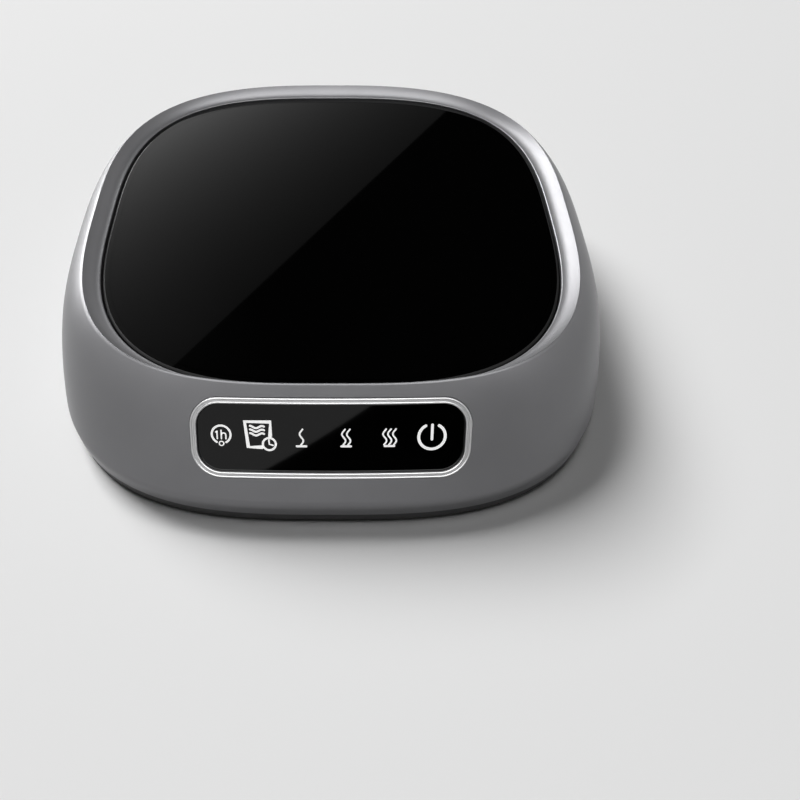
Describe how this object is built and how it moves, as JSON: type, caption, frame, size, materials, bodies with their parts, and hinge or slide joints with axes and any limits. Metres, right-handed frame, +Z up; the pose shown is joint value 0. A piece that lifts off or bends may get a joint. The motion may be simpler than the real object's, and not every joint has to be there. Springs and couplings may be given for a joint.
{
  "type": "electric mug warmer",
  "caption": "Low squircle warmer for a mug: a sprung black glass heating plate sunk in a dished metallic grey housing, with a sloped touch panel.",
  "frame": {"origin": "centre of the footprint, on the surface that the warmer stands on", "axes": "+X to the user's right, -Y towards the touch panel and the user, +Z up"},
  "size_m": [0.126, 0.1228, 0.029],
  "materials": {
    "housing_paint": "satin metallic grey paint on moulded ABS",
    "trim_metal": "satin",
    "lens_gloss": "black gloss back-printed lens",
    "white_plastic": "moulded white reflector plastic",
    "board_green": "solder-masked glass-epoxy board",
    "led_resin": "clear yellow resin",
    "spring_steel": "drawn spring wire",
    "screw_steel": "zinc-plated steel",
    "plate_glass": "black opaque toughened glass",
    "silicone_red": "cured silicone adhesive",
    "aluminium": "cold-rolled sheet",
    "element_foil": "etched resistance foil",
    "mica": "mica board",
    "fibre_pad": "needled glass-fibre felt",
    "carrier_plastic": "glass-filled heat-resistant plastic",
    "sensor_resin": "dipped resin",
    "fuse_ceramic": "glazed ceramic body",
    "switch_plastic": "moulded thermoset",
    "plunger_plastic": "moulded acetal",
    "terminal_metal": "tinned brass",
    "block_green": "moulded polyamide",
    "cap_yellow": "moulded box film capacitor",
    "cap_sleeve": "shrink sleeve",
    "fuse_glass": "clear glass tube",
    "ribbon_grey": "flexible vinyl",
    "lead_white": "silicone insulation",
    "lead_blue": "vinyl insulation",
    "base_plastic": "fine-textured black ABS",
    "foot_rubber": "matt black rubber"
  },
  "bodies": {
    "housing": {"upper_housing": "housing_paint", "panel_trim_ring": "trim_metal", "panel_lens": "lens_gloss", "light_box": "white_plastic", "touch_board": "board_green", "panel_leds": "led_resin", "touch_springs": "spring_steel", "touch_board_screws": "screw_steel", "return_springs": "spring_steel", "switch_body": "switch_plastic", "switch_terminals": "terminal_metal", "switch_screws": "screw_steel", "main_board": "board_green", "terminal_block": "block_green", "film_capacitor": "cap_yellow", "smoothing_capacitor": "cap_sleeve", "triac": "switch_plastic", "glass_fuse": "fuse_glass", "fuse_clips": "terminal_metal", "board_screws": "screw_steel", "ribbon_cable": "ribbon_grey", "heater_leads": "lead_white", "switch_leads": "lead_blue", "base_cover": "base_plastic", "base_screws": "screw_steel", "rubber_feet": "foot_rubber", "cord_gland": "foot_rubber"},
    "plate": {"glass_plate": "plate_glass", "glass_adhesive": "silicone_red", "heat_spreader": "aluminium", "heating_element": "element_foil", "mica_sheet": "mica", "insulation_pad": "fibre_pad", "plate_carrier": "carrier_plastic", "temperature_sensor": "sensor_resin", "sensor_clip": "spring_steel", "thermal_fuse": "fuse_ceramic"},
    "switch_arm": {"switch_lever": "spring_steel"},
    "switch_button": {"switch_plunger": "plunger_plastic"}
  },
  "joints": [
    {"name": "plate_press", "type": "slide", "parent": "housing", "child": "plate", "axis": [0, 0, 1], "range_m": [-0.0012, 0], "stiffness_N_per_m": 1200, "springref_m": 0.0018, "deforming": ["return_springs", "heater_leads"]},
    {"name": "switch_lever_hinge", "type": "hinge", "parent": "housing", "child": "switch_arm", "pos_m": [0.021, -0.0142, 0.01081], "axis": [0, 1, 0], "range_deg": [0, 6]},
    {"name": "switch_plunger_press", "type": "slide", "parent": "housing", "child": "switch_button", "axis": [0, 0, 1], "range_m": [-0.00035, 0]}
  ],
  "couplings": [
    {"joint": "switch_lever_hinge", "follows": "plate_press", "rad_per_m": -87.2},
    {"joint": "switch_plunger_press", "follows": "plate_press", "ratio": 0.29}
  ]
}
